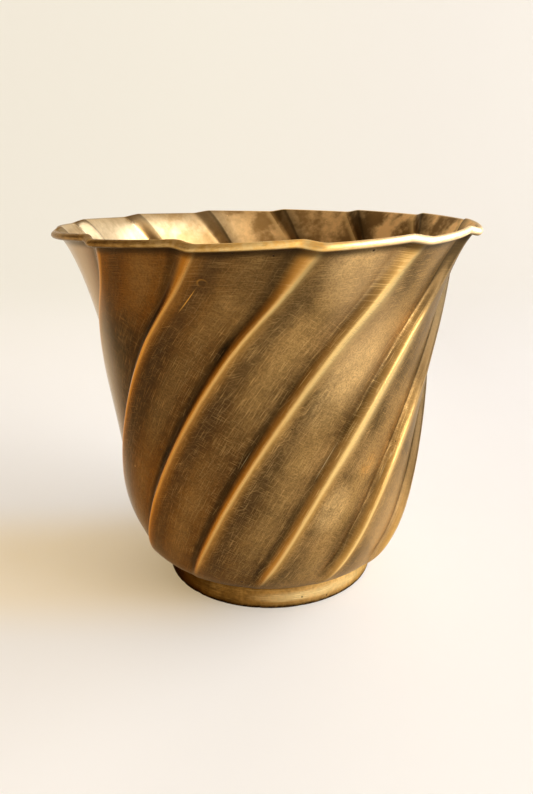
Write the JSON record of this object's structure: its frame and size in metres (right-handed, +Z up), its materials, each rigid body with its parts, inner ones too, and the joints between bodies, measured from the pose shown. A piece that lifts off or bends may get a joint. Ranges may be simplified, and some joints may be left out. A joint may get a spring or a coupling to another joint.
{
  "type": "planter pot",
  "caption": "Flared brass planter pot with swirling pressed flutes, a scalloped rolled rim and a plain foot ring.",
  "frame": {"origin": "middle of the face that the foot ring stands on", "axes": "+Z up along the pot's axis, out of its mouth; the pictured side faces -Y"},
  "size_m": [0.1695, 0.169, 0.152],
  "materials": {
    "brass_shell": "antiqued satin brass, dark brown patina rubbed through to gold on the crests, fine scratches",
    "brass_wire": "drawn wire, unpolished",
    "brass_foot": "antiqued satin brass, rubbed brighter than the bowl",
    "brass_solder": "dull brazed fillet"
  },
  "bodies": {
    "root": {"bowl_shell": "brass_shell", "rim_wire": "brass_wire", "foot_ring": "brass_foot", "foot_solder": "brass_solder"}
  },
  "joints": []
}
